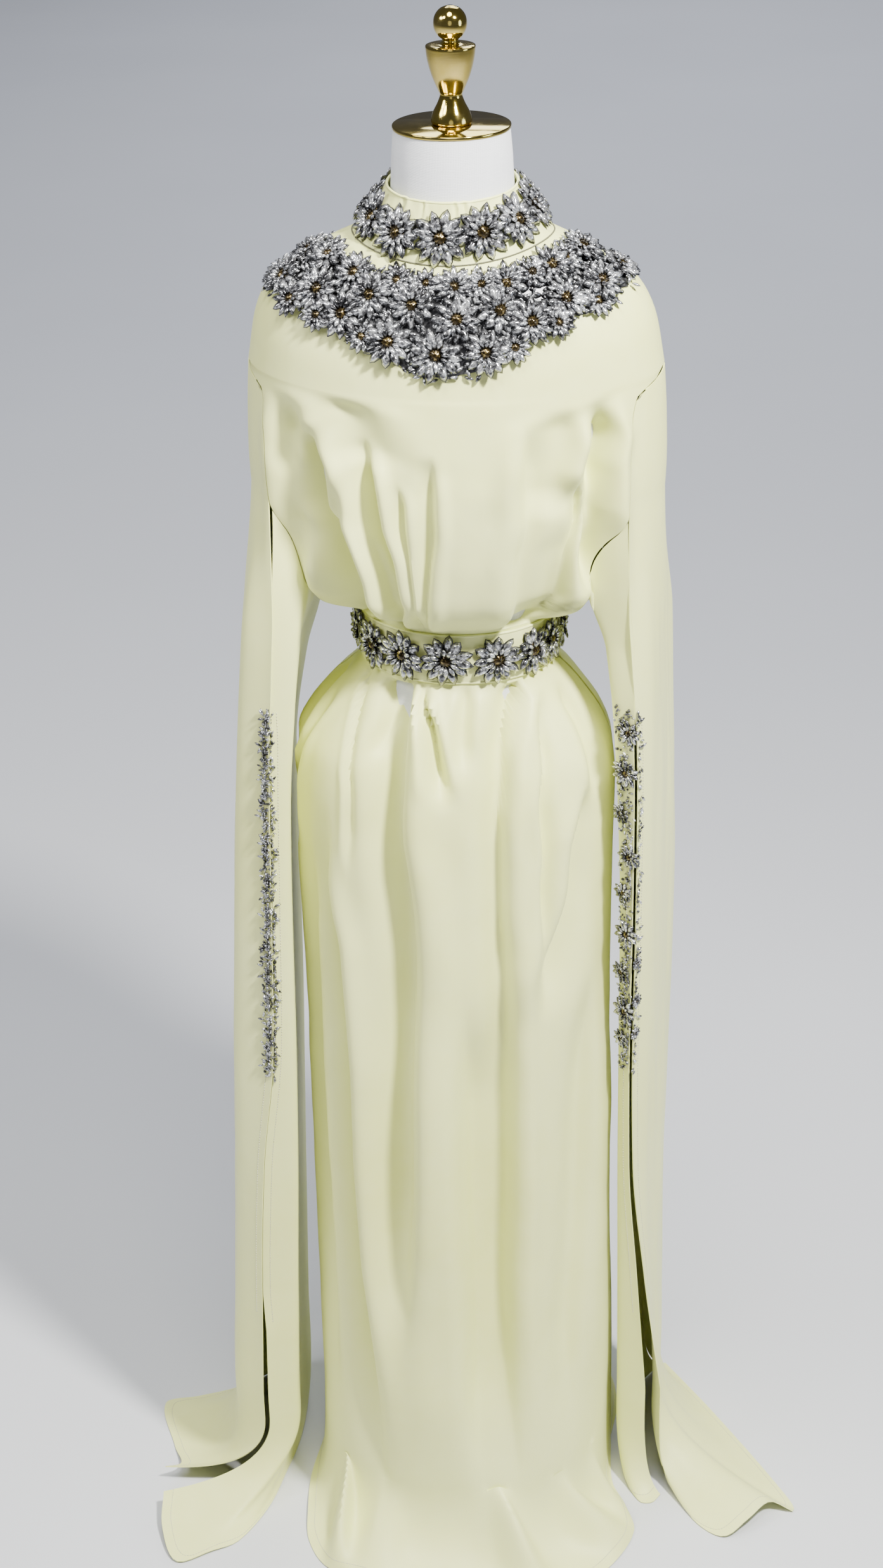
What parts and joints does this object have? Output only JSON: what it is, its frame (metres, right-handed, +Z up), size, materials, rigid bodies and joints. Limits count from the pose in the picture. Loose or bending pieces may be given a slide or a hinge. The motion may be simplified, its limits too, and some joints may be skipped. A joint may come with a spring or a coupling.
{
  "type": "long kaftan with cape sleeves on a limbless dress form",
  "caption": "Floor-length satin kaftan with jewelled collar, yoke and belt and slit cape sleeves, standing on a linen dress form with a brass finial.",
  "frame": {"origin": "centre of the stand base's underside, on the floor", "axes": "+Z up along the form's pole, -Y towards the garment's front, +X to the viewer's right"},
  "size_m": [0.7214, 0.4421, 1.6336],
  "materials": {
    "satin": "heavy satin crepe, soft sheen",
    "crystal": "foiled crystal flowers with metal settings",
    "linen": "plain weave, matte",
    "brass": "polished",
    "steel": "brushed"
  },
  "bodies": {
    "root": {"front_panel": "satin", "back_panel": "satin", "collar": "satin", "belt": "satin", "yoke_flowers": "crystal", "sleeve_outer_left": "satin", "sleeve_inner_left": "satin", "sleeve_outer_right": "satin", "sleeve_inner_right": "satin", "slit_trim_outer_left": "crystal", "slit_trim_inner_left": "crystal", "slit_trim_outer_right": "crystal", "slit_trim_inner_right": "crystal", "form_torso": "linen", "neck_cap": "brass", "finial": "brass", "stand_pole": "steel", "stand_base": "steel"}
  },
  "joints": []
}
